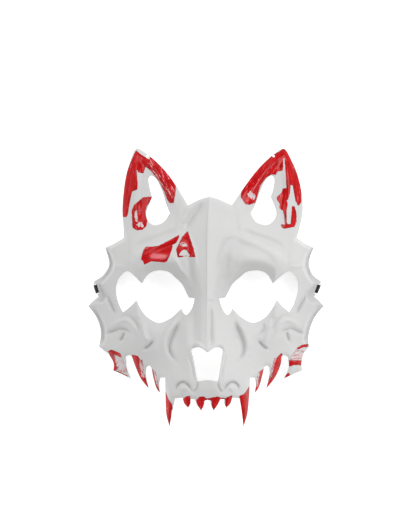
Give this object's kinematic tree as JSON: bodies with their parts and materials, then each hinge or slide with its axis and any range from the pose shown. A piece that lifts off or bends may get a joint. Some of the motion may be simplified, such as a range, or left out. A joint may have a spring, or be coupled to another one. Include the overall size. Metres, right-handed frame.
{
  "type": "wolf skull party mask",
  "caption": "Thin moulded wolf skull face mask with pierced ears, eye and nose holes, hanging fangs and a flat elastic head strap looped through side tabs.",
  "frame": {"origin": "on the surface the mask lies on, under the middle of its box", "axes": "+X across the face to the wearer's left, +Y up the face to the ears, +Z out of the face"},
  "size_m": [0.17, 0.2, 0.0653],
  "materials": {
    "moulded_plastic": "satin white with rubbed blood red paint on the ears, brow and teeth",
    "woven_elastic": "matt black weave"
  },
  "bodies": {
    "root": {"mask_shell": "moulded_plastic", "head_strap": "woven_elastic"}
  },
  "joints": []
}
